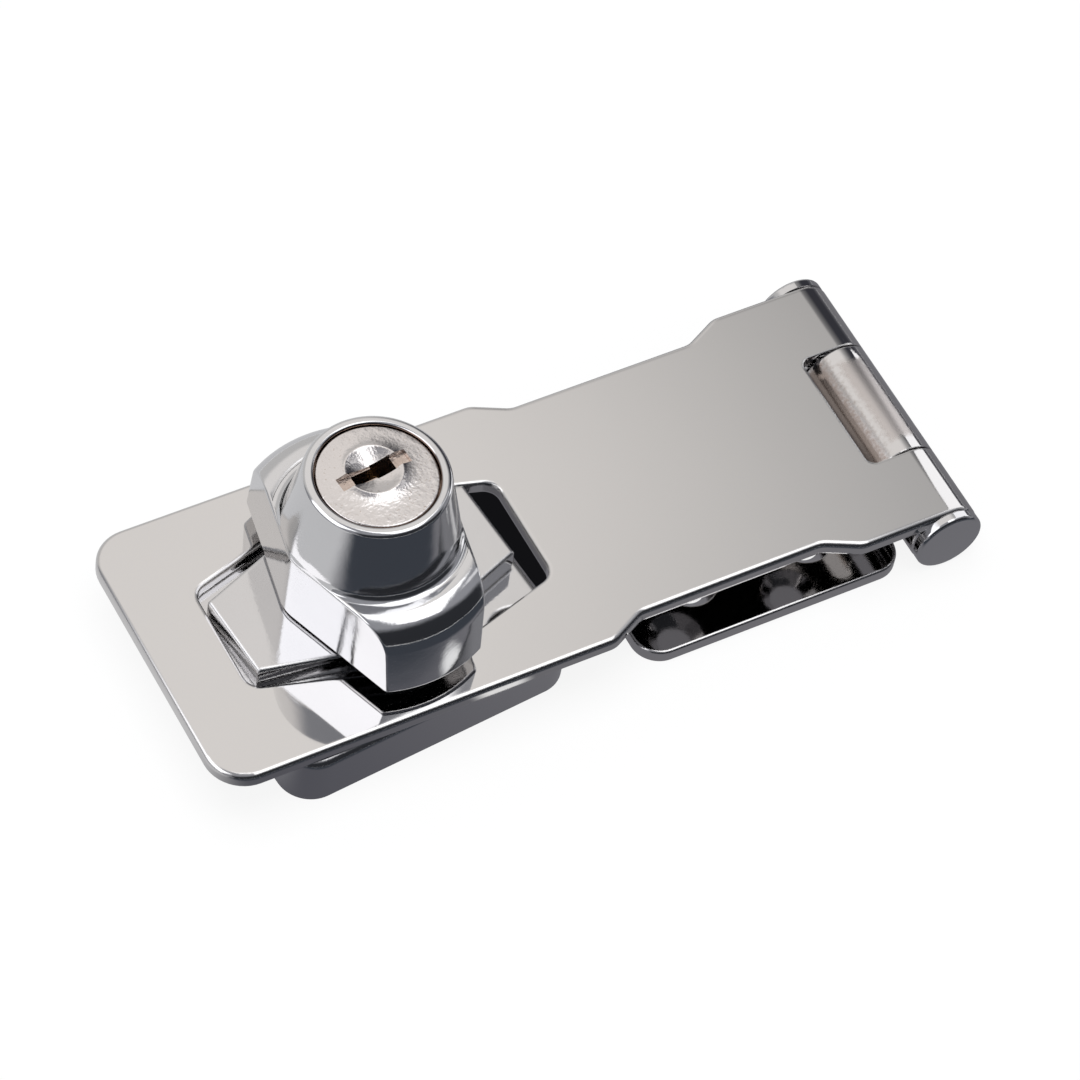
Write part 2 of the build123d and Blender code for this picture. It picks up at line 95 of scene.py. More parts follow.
class NodeGraph:
    """A short way to write shader nodes. Colours are triples, and most methods return an output."""

    def __init__(self, tree: bpy.types.NodeTree) -> None:
        """Empty the node tree of a material or of the world."""
        self.tree = tree
        tree.nodes.clear()

    def node(self, kind: str, *values: object, **settings: object) -> bpy.types.Node:
        """Add a node.

        Args:
            kind: Blender's name for the node type.
            values: Numbers, tuples or outputs for its first inputs, in order.
            settings: Attributes set on the node.

        Returns:
            The new node.
        """
        node = self.tree.nodes.new(kind)
        for name, value in settings.items():
            setattr(node, name, value)
        for socket, value in zip(node.inputs, values):
            self.feed(socket, value)
        return node

    def feed(self, socket: Socket, value: object) -> None:
        """Link a socket to an output, or set its value.

        Args:
            socket: Input socket.
            value: Output socket, number, vector or colour.
        """
        if isinstance(value, Socket):
            self.tree.links.new(value, socket)
        elif socket.type == "RGBA":
            socket.default_value = (*value, 1.0)
        else:
            socket.default_value = value

    def math(self, operation: str, *values: object) -> Socket:
        """Combine numbers by an operation of the Math node."""
        return self.node("ShaderNodeMath", *values, operation=operation).outputs[0]

    def vector(self, operation: str, *values: object) -> Socket:
        """Combine vectors by an operation of the Vector Math node.

        Args:
            operation: The operation.
            values: Vectors or outputs.

        Returns:
            The result, a number for a product, length or distance and else a vector.
        """
        node = self.node("ShaderNodeVectorMath", *values, operation=operation)
        is_number = operation in ("DOT_PRODUCT", "LENGTH", "DISTANCE")
        return node.outputs["Value" if is_number else "Vector"]

    def ramp(self, value: object, low: float, high: float, to_low: float = 0.0,
             to_high: float = 1.0) -> Socket:
        """Map a number smoothly, so that low gives to_low and high gives to_high."""
        return self.node("ShaderNodeMapRange", value, low, high, to_low, to_high,
                         interpolation_type="SMOOTHSTEP").outputs[0]

    def mix(self, factor: object, first: object, second: object) -> Socket:
        """Blend two colours.

        Args:
            factor: 0 for the first colour, 1 for the second.
            first: Colour or output.
            second: Colour or output.

        Returns:
            The blended colour.
        """
        node = self.node("ShaderNodeMix", data_type="RGBA")
        self.feed(node.inputs["Factor"], factor)
        self.feed(node.inputs[6], first)
        self.feed(node.inputs[7], second)
        return node.outputs[2]

    def place(self) -> Socket:
        """Return the object coordinates."""
        return self.node("ShaderNodeTexCoord").outputs["Object"]

    def split(self, vector: Socket) -> tuple[Socket, ...]:
        """Return a vector's X, Y and Z."""
        return tuple(self.node("ShaderNodeSeparateXYZ", vector).outputs)

    def noise(self, place: Socket, size: float, detail: float) -> Socket:
        """Add a noise whose patches have a given size.

        Args:
            place: Object coordinates.
            size: Patch size in metres.
            detail: Octaves of finer noise.

        Returns:
            The noise value.
        """
        node = self.node("ShaderNodeTexNoise")
        self.feed(node.inputs["Vector"], place)
        self.feed(node.inputs["Scale"], 1 / size)
        self.feed(node.inputs["Detail"], detail)
        return node.outputs["Fac"]

    def bump(self, height: Socket, distance: float, normal: Socket | None) -> Socket:
        """Tilt the normal as a raised surface would.

        Args:
            height: Height between 0 and 1.
            distance: Height in metres where it is 1.
            normal: Normal beneath, or None for the mesh's own.

        Returns:
            The new normal.
        """
        node = self.node("ShaderNodeBump")
        self.feed(node.inputs["Distance"], distance)
        self.feed(node.inputs["Height"], height)
        if normal is not None:
            self.feed(node.inputs["Normal"], normal)
        return node.outputs[0]

    def glow(self, colour: object) -> Socket:
        """Return a shader that emits a colour."""
        return self.node("ShaderNodeEmission", colour).outputs[0]

    def blend(self, factor: Socket, first: Socket, second: Socket) -> Socket:
        """Return a blend of two shaders, where 0 gives the first."""
        return self.node("ShaderNodeMixShader", factor, first, second).outputs[0]

    def show(self, shader: Socket, output: str = "ShaderNodeOutputMaterial") -> None:
        """Make a shader the surface of the material or the world."""
        self.feed(self.node(output).inputs["Surface"], shader)


def new_material(name: str) -> tuple[bpy.types.Material, NodeGraph]:
    """Make an empty node material and return it with its graph."""
    material = bpy.data.materials.new(name)
    material.use_nodes = True
    return material, NodeGraph(material.node_tree)


def coat(piece: Piece, material: bpy.types.Material) -> None:
    """Give a piece a material in place of those it has."""
    piece.data.materials.clear()
    piece.data.materials.append(material)


def mesh_object(name: str, points: Sequence, faces: Sequence) -> Piece:
    """Make a mesh object in the scene.

    Args:
        name: Name of the object and of its mesh.
        points: Its points in metres.
        faces: Numbers of the points round each face.

    Returns:
        The linked object.
    """
    mesh = bpy.data.meshes.new(name)
    mesh.from_pydata(points, [], faces)
    piece = bpy.data.objects.new(name, mesh)
    bpy.context.scene.collection.objects.link(piece)
    return piece


@dataclass(frozen=True)
class Patch:
    """A ragged-edged box in which the plating looks different; some such boxes are painted shade.
    Lengths are in metres.

    Attributes:
        middle: Its middle.
        half: Half its size along each axis.
        colour: Reflectance inside it.
        roughness: Least roughness inside it.
        softness: Width of its edge.
        ragged_size: Size of the noise that breaks up its edge.
    """

    middle: Triple
    half: Triple
    colour: Triple
    roughness: float
    softness: float
    ragged_size: float = 0.5 * MM

    def share(self, graph: NodeGraph, place: Socket) -> Socket:
        """Return 1 inside the box and 0 outside it.

        The greatest of the three distances past the half sizes, plus a noise, is mapped over the
        edge's width.

        Args:
            graph: Node graph of the material.
            place: Object coordinates.

        Returns:
            The share.
        """
        offset = graph.vector("ABSOLUTE", graph.vector("SUBTRACT", place, self.middle))
        x, y, z = graph.split(graph.vector("SUBTRACT", offset, self.half))
        most = graph.math("MAXIMUM", graph.math("MAXIMUM", x, y), z)
        ragged = graph.math("MULTIPLY", graph.noise(place, self.ragged_size, 3.0), self.softness)
        return graph.ramp(graph.math("ADD", most, ragged), 0.0, self.softness, 1.0, 0.0)


@dataclass(frozen=True)
class PlatedFinish:
    """A plated or bare metal surface, with the ripple that pressing, casting and polishing leave.

    Attributes:
        name: Material name.
        colour: Reflectance of the metal.
        roughness: Roughness where the surface is clean.
        haze: Roughness added where it is hazed or handled.
        ripple_size: Size of the long ripple, in metres.
        ripple_depth: Height of the long ripple, in metres.
        grain_size: Size of the fine grain, in metres.
        grain_depth: Height of the fine grain, in metres.
        worn_colour: Colour that shows in pores.
        worn_share: Share of that colour there.
        edge_radius: Rounding that the light sees on sharp edges, in metres.
        bore: X, Y and radius of an upright bore whose inside is darkened with painted shade, in
            metres.
        bore_colour: Reflectance in that bore, a darker brown that paints shade.
        bore_edge: Width of the painted shade's soft edge, in metres.
        patches: Places where the plating looks different, some of them painted shade.
    """

    name: str
    colour: Triple
    roughness: float
    haze: float
    ripple_size: float
    ripple_depth: float
    grain_size: float
    grain_depth: float
    worn_colour: Triple = (0.5, 0.42, 0.36)
    worn_share: float = 0.0
    edge_radius: float = 0.0
    bore: Triple | None = None
    bore_colour: Triple = (0.30, 0.22, 0.18)
    bore_edge: float = 0.12 * MM
    patches: tuple[Patch, ...] = ()

    def material(self) -> bpy.types.Material:
        """Build the node material.

        Returns:
            The new material.
        """
        material, graph = new_material(self.name)
        place = graph.place()
        ripple = graph.noise(place, self.ripple_size, 1.0)
        grain = graph.noise(place, self.grain_size, 3.0)
        haze = graph.noise(place, HAZE_RIPPLES * self.ripple_size, 4.0)
        tint = graph.mix(graph.ramp(haze, *TINT_RANGE), self.colour,
                         tuple(HAZED * channel for channel in self.colour))
        if self.worn_share > 0:
            worn = graph.ramp(grain, *PORE_RANGE, 0.0, self.worn_share)
            tint = graph.mix(worn, tint, self.worn_colour)
        # Painted shade: a darker brown inside the bore.
        if self.bore is not None:
            tint = graph.mix(self.bore_share(graph, place), tint, self.bore_colour)
        rough = graph.ramp(haze, *HAZE_RANGE, self.roughness, self.roughness + self.haze)
        for patch in self.patches:
            share = patch.share(graph, place)
            tint = graph.mix(share, tint, patch.colour)
            rough = graph.math("MAXIMUM", rough, graph.math("MULTIPLY", share, patch.roughness))
        normal = None
        if self.edge_radius > 0:
            normal = graph.node("ShaderNodeBevel", self.edge_radius, samples=6).outputs[0]
        normal = graph.bump(ripple, self.ripple_depth, normal)
        normal = graph.bump(grain, self.grain_depth, normal)
        shader = graph.node("ShaderNodeBsdfPrincipled")
        graph.feed(shader.inputs["Metallic"], 1.0)
        graph.feed(shader.inputs["Base Color"], tint)
        graph.feed(shader.inputs["Roughness"], rough)
        graph.feed(shader.inputs["Normal"], normal)
        graph.show(shader.outputs[0])
        return material

    def bore_share(self, graph: NodeGraph, place: Socket) -> Socket:
        """Return 1 inside the bore, where shade is painted, and 0 outside it, by the distance from
        its axis.
        """
        x, y, radius = self.bore
        offset = graph.vector("SUBTRACT", place, (x, y, 0.0))
        away = graph.vector("LENGTH", graph.vector("MULTIPLY", offset, (1.0, 1.0, 0.0)))
        return graph.ramp(away, radius, radius + self.bore_edge, 1.0, 0.0)


STRAP_CHROME = PlatedFinish("strap_chrome", (0.70, 0.69, 0.685), 0.035, 0.03, 14 * MM, 0.006 * MM,
                            0.8 * MM, 0.0002 * MM, edge_radius=0.4 * MM)
KNUCKLE_SATIN = Patch((0.0499, 0.0, 0.008), (0.0018, 0.0068, 0.006), (0.54, 0.505, 0.49), 0.32,
                      1.2 * MM)
# Painted shade of the gaps between the knuckles: a darker, browner box on the hinge leaf, on the
# knuckles' side towards the lock.
KNUCKLE_PAINTED_SHADE = Patch((0.0440, 0.0, 0.0085), (0.0029, 0.0087, 0.0045), (0.31, 0.26, 0.23), 0.22,
                        1.6 * MM)
LEAF_CHROME = PlatedFinish("leaf_chrome", (0.70, 0.69, 0.69), 0.04, 0.03, 12 * MM, 0.006 * MM,
                           0.5 * MM, 0.0025 * MM, edge_radius=0.3 * MM,
                           patches=(KNUCKLE_SATIN, KNUCKLE_PAINTED_SHADE))
PIN_CHROME = PlatedFinish("pin_chrome", (0.68, 0.68, 0.69), 0.06, 0.04, 5 * MM, 0.004 * MM,
                          0.5 * MM, 0.0005 * MM)
CASE_CHROME = PlatedFinish("case_chrome", (0.68, 0.675, 0.68), 0.06, 0.06, 4 * MM, 0.02 * MM,
                           0.45 * MM, 0.005 * MM, edge_radius=0.5 * MM)
# Within the bore's radius, recess wall included, the knob is darkened brown as painted shade.
KNOB_CHROME = PlatedFinish("knob_chrome", (0.71, 0.71, 0.72), 0.07, 0.06, 3.0 * MM, 0.03 * MM,
                           0.45 * MM, 0.006 * MM, bore=(-0.02525, 0.0003, 0.00785))
BARE_BARREL = Patch((-0.02525, 0.0003, 0.0185), (0.009, 0.009, 0.01372), (0.60, 0.50, 0.44), 0.25,
                    0.1 * MM)
PLUG_CHROME = PlatedFinish("plug_chrome", (0.73, 0.70, 0.69), 0.12, 0.08, 0.8 * MM, 0.04 * MM,
                           0.3 * MM, 0.024 * MM, worn_share=0.5, patches=(BARE_BARREL,))
BRASS = PlatedFinish("stamped_brass", (0.72, 0.56, 0.30), 0.3, 0.1, 2 * MM, 0.004 * MM,
                     0.2 * MM, 0.002 * MM)
SPRING_STEEL = PlatedFinish("spring_steel", (0.62, 0.62, 0.64), 0.25, 0.1, 1 * MM, 0.002 * MM,
                            0.1 * MM, 0.001 * MM)
ZINC_STEEL = PlatedFinish("zinc_steel", (0.66, 0.67, 0.69), 0.28, 0.12, 3 * MM, 0.006 * MM,
                          0.3 * MM, 0.002 * MM)


@dataclass(frozen=True)
class Panel:
    """A soft-edged rectangle of light or shade on the inside of the studio tent.

    Attributes:
        towards: Direction from the object to its middle.
        half_width: Half its width, as a share of its distance.
        half_height: Half its height, as a share of its distance.
        softness: Width of its soft edge, as a share of its distance.
        colour: Emitted colour, where 1 is white.
    """

    towards: Triple
    half_width: float
    half_height: float
    softness: float
    colour: Triple

    def paint(self, graph: NodeGraph, place: Socket, under: Socket) -> Socket:
        """Lay the panel over the colour beneath it.

        A point of the tent is projected on the plane at unit distance along the panel's direction,
        and the panel's mask is the product of a smooth step across each of its sides. A panel
        close to overhead takes its width along X.

        Args:
            graph: Node graph of the tent's material.
            place: Object coordinates of the tent.
            under: Colour beneath.

        Returns:
            The colour with the panel.
        """
        ahead = Vector(self.towards).normalized()
        guide = Vector((0, 0, 1)) if abs(ahead.z) < 0.95 else Vector((0, 1, 0))
        across = ahead.cross(guide).normalized()
        up = across.cross(ahead).normalized()
        depth = graph.vector("DOT_PRODUCT", place, tuple(ahead))
        mask = graph.math("GREATER_THAN", depth, 0.0)
        edge = self.softness / 2
        for axis, half in ((across, self.half_width), (up, self.half_height)):
            offset = graph.vector("DOT_PRODUCT", place, tuple(axis))
            share = graph.math("ABSOLUTE", graph.math("DIVIDE", offset, depth))
            side = graph.ramp(share, half - edge, half + edge, 1.0, 0.0)
            mask = graph.math("MULTIPLY", mask, side)
        return graph.mix(mask, under, self.colour)


PANELS = (
    # pale wall behind
    Panel((0.10, 0.90, 0.42), 1.10, 0.80, 0.40, (0.62, 0.61, 0.60)),
    # dark room on the camera's side
    Panel((0.15, -0.92, 0.36), 1.40, 0.72, 0.50, (0.030, 0.032, 0.037)),
    # wide warm sheet that the strap's top shows
    Panel((-0.02, 0.53, 0.80), 0.47, 0.38, 0.30, (0.92, 0.89, 0.865)),
    # dark wall on the hinge's side
    Panel((0.82, 0.42, 0.40), 0.45, 0.40, 0.50, (0.045, 0.046, 0.056)),
    # overhead softbox
    Panel((0.27, -0.02, 0.96), 0.19, 0.36, 0.06, (1.9, 1.9, 1.92)),
    # strip light on the hinge's side
    Panel((0.66, 0.10, 0.74), 0.06, 0.20, 0.05, (0.9, 0.9, 0.92)),
    # left softbox
    Panel((-0.74, 0.08, 0.67), 0.42, 0.42, 0.10, (1.9, 1.9, 1.95)),
)

# Parts of the mat: direction, where along it the part begins and shows fully, and its colour.
MAT_ZONES = (
    # paler towards the hinge
    ((1.0, 0.0, 0.0), -46 * MM, 10 * MM, (0.21, 0.208, 0.225)),
    # dark in front
    ((0.0, -1.0, 0.0), 26 * MM, 38 * MM, (0.053, 0.060, 0.074)),
    # pale behind and to the left
    ((-0.6, 0.8, 0.0), 9 * MM, 33 * MM, (0.66, 0.66, 0.67)),
)


@dataclass
class Studio:
    """Floor, mat, tent, card, lamp and camera. Lengths are in metres, apart from the lens.

    Attributes:
        azimuth: Degrees of the camera from the -Y side towards +X.
        elevation: Degrees of the camera above the floor.
        roll: Degrees that the camera is rolled about its own axis.
        distance: Camera distance from the target.
        target: Point it looks at.
        lens: Focal length in millimetres.
        sensor: Width of the sensor in millimetres.
        sky: Colour of the light from all round.
        floor_half: Half the floor's width.
        floor_gap: How far floor and mat lie off the mounting plane.
        floor_colour: Reflectance of the floor.
        floor_glow: Share of white that shows through shadow.
        shade_x: Reach along the hasp of the dark floor under strap and case.
        shade_y: Its reach across the hasp.
        shade_edge: Width of its soft edge.
        shade_reach: Distance within which a cover makes it dark.
        shade_range: Shares of open sky where it is dark and where white.
        shade_colour: Its colour.
        mat_half: Half the width of the dark mat that only reflections show.
        mat_colour: Colour of the mat under the lock.
        spot: Middle of the white spot on the mat.
        spot_radii: Radii where the spot begins to fade and where it ends.
        tent_radius: Radius of the tent.
        tent_foot: Elevation of its lower edge, in radians.
        tent_rise: Height of its upper colour, as a share of its radius.
        tent_colours: Its colours at the foot and higher up.
        card_corners: Corners of the white card beside the hinge.
        card_colour: Colour that the card emits.
        lamp_place: Place of the soft lamp.
        lamp_size: Width of the lamp.
        lamp_power: Its power in watts.
    """

    azimuth: float = -37.25
    elevation: float = 53.60
    roll: float = 11.18
    distance: float = 0.6612
    target: Triple = (-0.0013, -0.00254, 0.0096)
    lens: float = 174.9
    sensor: float = 36.0
    sky: Triple = (0.55, 0.55, 0.56)
    floor_half: float = 3.0
    floor_gap: float = 0.00002
    floor_colour: Triple = (0.9, 0.9, 0.9)
    floor_glow: float = 0.88
    shade_x: Pair = (-0.046, 0.0055)
    shade_y: Pair = (-0.0125, 0.0165)
    shade_edge: float = 0.0015
    shade_reach: float = 0.03
    shade_range: Pair = (0.62, 0.85)
    shade_colour: Triple = (0.006, 0.006, 0.007)
    mat_half: float = 0.45
    mat_colour: Triple = (0.115, 0.116, 0.135)
    spot: Triple = (-0.0122, -0.0258, 0.0)
    spot_radii: Pair = (0.002, 0.005)
    tent_radius: float = 0.9
    tent_foot: float = -0.1
    tent_rise: float = 0.75
    tent_colours: tuple[Triple, Triple] = ((0.28, 0.28, 0.30), (0.34, 0.345, 0.37))
    card_corners: tuple[Triple, ...] = (
        (0.069, -0.015, 0.069), (0.101, -0.015, 0.020), (0.101, 0.034, 0.020),
        (0.093, 0.034, 0.0325))
    card_colour: Triple = (1.3, 1.3, 1.32)
    lamp_place: Triple = (-0.2, 0.1, 1.4)
    lamp_size: float = 1.2
    lamp_power: float = 16.0

    def build(self) -> None:
        """Make the world, the floor and all that stands on it."""
        self.make_world()
        self.make_floor()
        self.make_mat()
        self.make_tent()
        self.make_card()
        self.make_lamp()
        self.make_camera()
        bpy.context.scene.view_settings.view_transform = "Standard"

    def background_factor(self, graph: NodeGraph) -> Socket:
        """Return 1 for camera, glossy and transmission rays, which all show the background."""
        rays = graph.node("ShaderNodeLightPath").outputs
        seen = graph.math("MAXIMUM", rays["Is Camera Ray"], rays["Is Glossy Ray"])
        return graph.math("MAXIMUM", seen, rays["Is Transmission Ray"])

    def make_world(self) -> None:
        """Set a white world for the background and a soft grey one for the light."""
        world = bpy.data.worlds.new("studio_world")
        world.use_nodes = True
        bpy.context.scene.world = world
        graph = NodeGraph(world.node_tree)
        colour = graph.mix(self.background_factor(graph), self.sky, WHITE)
        graph.show(graph.node("ShaderNodeBackground", colour).outputs[0], "ShaderNodeOutputWorld")

    def square(self, name: str, half: float, height: float) -> Piece:
        """Make a flat square that isn't part of the object.

        Args:
            name: Object name.
            half: Half its width in metres.
            height: Its height in metres.

        Returns:
            The linked object.
        """
        corners = [(x * half, y * half, height) for x, y in ((-1, -1), (1, -1), (1, 1), (-1, 1))]
        square = mesh_object(name, corners, [(0, 1, 2, 3)])
        return square

    def make_floor(self) -> None:
        """Make the white floor, which keeps the object's shadow and can be seen through from below.

        Under the strap it is dark as long as the strap covers it, which the share of open sky over
        each point tells.
        """
        floor = self.square("floor", self.floor_half, -self.floor_gap)
        material, graph = new_material("floor_white")
        hidden = graph.node("ShaderNodeAmbientOcclusion", WHITE, self.shade_reach, samples=8)
        shade = graph.ramp(hidden.outputs["AO"], *self.shade_range, 1.0, 0.0)
        seen = graph.node("ShaderNodeLightPath").outputs["Is Camera Ray"]
        shade = graph.math("MULTIPLY", shade, seen)
        edge = self.shade_edge / 2
        for axis, (low, high) in zip(graph.split(graph.place()), (self.shade_x, self.shade_y)):
            enter = graph.ramp(axis, low - edge, low + edge)
            leave = graph.ramp(axis, high - edge, high + edge, 1.0, 0.0)
            shade = graph.math("MULTIPLY", shade, graph.math("MULTIPLY", enter, leave))
        shown = graph.math("MULTIPLY", self.background_factor(graph), self.floor_glow)
        matt = graph.node("ShaderNodeBsdfDiffuse", self.floor_colour).outputs[0]
        glow = graph.glow(graph.mix(shade, WHITE, self.shade_colour))
        above = graph.blend(graph.math("MAXIMUM", shown, shade), matt, glow)
        behind = graph.node("ShaderNodeNewGeometry").outputs["Backfacing"]
        clear = graph.node("ShaderNodeBsdfTransparent").outputs[0]
        graph.show(graph.blend(behind, above, clear))
        coat(floor, material)

    def reflection_only(self, piece: Piece) -> None:
        """Let only reflections show a piece."""
        piece.visible_camera = False
        piece.visible_diffuse = False
        piece.visible_shadow = False
        piece.visible_transmission = False
        piece.visible_volume_scatter = False

    def make_mat(self) -> None:
        """Make the dark mat on the floor, which only the metal's reflections show."""
        mat = self.square("dark_mat", self.mat_half, self.floor_gap)
        self.reflection_only(mat)
        material, graph = new_material("mat_slate")
        place = graph.place()
        colour = self.mat_colour
        for towards, begin, full, zone_colour in MAT_ZONES:
            along = graph.vector("DOT_PRODUCT", place, towards)
            colour = graph.mix(graph.ramp(along, begin, full), colour, zone_colour)
        away = graph.vector("DISTANCE", place, self.spot)
        white = graph.ramp(away, *self.spot_radii, 1.0, 0.0)
        graph.show(graph.glow(graph.mix(white, colour, WHITE)))
        coat(mat, material)

    def make_tent(self) -> None:
        """Make the tent round the object, a sphere whose inside carries the panels of light."""
        section = arc((0, 0), self.tent_radius, degrees(self.tent_foot), 90, 24)
        grid = turned(section, 64)
        tent = mesh_object("studio_tent", grid.reshape(-1, 3).tolist(), grid_faces(grid).tolist())
        self.reflection_only(tent)
        material, graph = new_material("tent_light")
        place = graph.place()
        rise = graph.ramp(graph.split(place)[2], 0.0, self.tent_rise * self.tent_radius)
        colour = graph.mix(rise, *self.tent_colours)
        for panel in PANELS:
            colour = panel.paint(graph, place, colour)
        graph.show(graph.glow(colour))
        coat(tent, material)

    def make_card(self) -> None:
        """Make the slanting white card beside the hinge, which the front knuckle reflects."""
        card = mesh_object("hinge_card", self.card_corners, [(0, 1, 2, 3)])
        self.reflection_only(card)
        material, graph = new_material("card_white")
        graph.show(graph.glow(self.card_colour))
        coat(card, material)

    def make_lamp(self) -> None:
        """Hang a wide soft lamp over the object."""
        data = bpy.data.lights.new("top_softbox", "AREA")
        data.shape = "SQUARE"
        data.size = self.lamp_size
        data.energy = self.lamp_power
        lamp = bpy.data.objects.new("top_softbox", data)
        lamp.location = self.lamp_place
        lamp.visible_glossy = False
        bpy.context.scene.collection.objects.link(lamp)

    def make_camera(self) -> None:
        """Place the camera at the photograph's viewpoint."""
        turn = radians(self.azimuth)
        rise = radians(self.elevation)
        back = Vector((sin(turn) * cos(rise), -cos(turn) * cos(rise), sin(rise)))
        right = Vector((cos(turn), sin(turn), 0))
        up = back.cross(right)
        roll = radians(self.roll)
        right, up = cos(roll) * right + sin(roll) * up, cos(roll) * up - sin(roll) * right
        data = bpy.data.cameras.new("camera")
        data.lens = self.lens
        data.sensor_width = self.sensor
        data.clip_start = 0.01
        camera = bpy.data.objects.new("camera", data)
        facing = Matrix((right, up, back)).transposed()
        camera.matrix_world = Matrix.Translation(
            Vector(self.target) + self.distance * back) @ facing.to_4x4()
        bpy.context.scene.collection.objects.link(camera)
        bpy.context.scene.camera = camera


def arc(centre: Pair, radius: float, start: float, end: float, count: int) -> Array:
    """Return points of a circular arc in a section: the centre plus the radius along each angle.

    Args:
        centre: Radius and height of its centre.
        radius: Its radius.
        start: First angle in degrees, where 0 points outwards and 90 up.
        end: Last angle in degrees.
        count: Number of points.

    Returns:
        Array of count rows with a radius and a height.
    """
    angles = np.radians(np.linspace(start, end, count))
    return np.stack((centre[0] + radius * np.cos(angles), centre[1] + radius * np.sin(angles)),
                    axis=-1)


def run(start: Sequence[float], end: Sequence[float], inner: int = 0,
        guard: float = 0.03) -> Array:
    """Return points of a straight run in a section, with a guard point close to each end.

    The guards keep the shading of the run flat up to the edge where a rounding starts.

    Args:
        start: Radius and height of the first point.
        end: Radius and height of the last point.
        inner: Number of points between the guards.
        guard: Distance of a guard from its end.

    Returns:
        Array of points.
    """
    first, last = np.array(start, float), np.array(end, float)
    near = min(guard / np.linalg.norm(last - first), 0.25)
    shares = np.concatenate(((0.0,), np.linspace(near, 1 - near, inner + 2), (1.0,)))
    return first + shares[:, None] * (last - first)


def runs(*corners: Sequence[float]) -> list[Array]:
    """Return the straight runs from corner to corner of a section."""
    return [run(start, end) for start, end in zip(corners, corners[1:])]


def turned(section: Array, columns: int) -> Array:
    """Turn a section about the upright axis.

    Args:
        section: Array of rows with a radius and a height.
        columns: Number of points round the axis.

    Returns:
        Array of rows by columns by 3.
    """
    angles = np.linspace(0, 2 * pi, columns, endpoint=False)[None, :]
    radii, heights = section[:, 0, None], section[:, 1, None]
    return np.stack((radii * np.cos(angles), radii * np.sin(angles), heights + 0 * angles),
                    axis=-1)


def grid_faces(grid: Array, start: int = 0) -> Array:
    """Return quads over a grid of points whose last column joins its first.

    Args:
        grid: Array of rows by columns by 3.
        start: Number of the grid's first point.

    Returns:
        Array of quads by 4 point numbers.
    """
    rows, columns = grid.shape[:2]
    index = start + np.arange(rows * columns).reshape(rows, columns)
    right = np.roll(index, -1, axis=1)
    return np.stack((index[:-1], right[:-1], right[1:], index[1:]), axis=-1).reshape(-1, 4)


def soft_min(first: Array, second: Array, width: float) -> Array:
    """Return the smaller of two values, rounded off where they are within width of each other.

    The rounding is the square of how far the difference falls short of width, over four widths.
    """
    near = np.maximum(width - np.abs(first - second), 0)
    return np.minimum(first, second) - near**2 / (4 * width)


def smooth(piece: Piece, sharp: float) -> None:
    """Shade a piece smooth, apart from its edges sharper than an angle in degrees."""
    piece.data.shade_smooth()
    piece.data.set_sharp_from_angle(angle=radians(sharp))


@dataclass(frozen=True)
class LockFrame:
    """Where the lock stands, read from the frame.

    Attributes:
        x: Its axis along the hasp, in millimetres.
        y: Its axis across the hasp, in millimetres.
        turn: Radians that it is turned about its axis.
    """

    x: float
    y: float
    turn: float

    @classmethod
    def read(cls, frame: dict) -> "LockFrame":
        """Read the axis from the knob's box and the turn from the bolt's slide.


        Returns:
            The lock's frame.
        """
        low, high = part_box("turn_knob")
        slide = next(joint for joint in frame["joints"] if joint["name"] == "bolt_slide")
        return cls((low.x + high.x) / 2 / MM, (low.y + high.y) / 2 / MM,
                   atan2(slide["axis"][1], slide["axis"][0]))

    def place(self, points: Array) -> Array:
        """Turn points by the lock's turn and shift them to its axis."""
        c, s = cos(self.turn), sin(self.turn)
        turned_points = points @ np.array(((c, s, 0), (-s, c, 0), (0, 0, 1)))
        return turned_points + np.array((self.x, self.y, 0))


@dataclass(frozen=True)
class Cutter:
    """A box in the lock's own frame that is cut out of a casting.

    Attributes:
        middle: Its middle in millimetres.
        size: Its size in millimetres.
    """

    middle: Triple
    size: Triple

    def piece(self, lock: LockFrame) -> Piece:
        """Make the cutter's mesh in place.

        Args:
            lock: Where the lock stands.

        Returns:
            The linked object.
        """
        signs = np.array([(x, y, z) for z in (-1, 1) for y in (-1, 1) for x in (-1, 1)])
        corners = MM * lock.place(np.array(self.middle) + signs * np.array(self.size) / 2)
        return mesh_object("cutter", corners.tolist(), [
            (0, 2, 3, 1), (4, 5, 7, 6), (0, 1, 5, 4), (2, 6, 7, 3), (0, 4, 6, 2), (1, 3, 7, 5)])


def cast(name: str, lock: LockFrame, grids: list[Array], cutters: list[Cutter]) -> Piece:
    """Make a closed piece from grids of points and cut boxes out of it.

    Args:
        name: Object name.
        lock: Where the lock stands.
        grids: Its surfaces in the lock's own frame, in millimetres.
        cutters: The boxes.

    Returns:
        The linked object, with its poles closed and its faces outwards.
    """
    points, faces, start = [], [], 0
    for grid in grids:
        points += (MM * lock.place(grid)).reshape(-1, 3).tolist()
        faces += grid_faces(grid, start).tolist()
        start = len(points)
    piece = mesh_object(name, points, faces)
    work = bmesh.new()
    work.from_mesh(piece.data)
    bmesh.ops.remove_doubles(work, verts=work.verts, dist=MERGE)
    bmesh.ops.recalc_face_normals(work, faces=work.faces)
    work.to_mesh(piece.data)
    work.free()
    boxes = [cutter.piece(lock) for cutter in cutters]
    for box in boxes:
        modifier = piece.modifiers.new("cut", "BOOLEAN")
        modifier.operation = "DIFFERENCE"
        modifier.solver = "EXACT"
        modifier.object = box
    graph = bpy.context.evaluated_depsgraph_get()
    carved = bpy.data.meshes.new_from_object(piece.evaluated_get(graph))
    piece.modifiers.clear()
    piece.data = carved
    for box in boxes:
        bpy.data.objects.remove(box)
    return piece


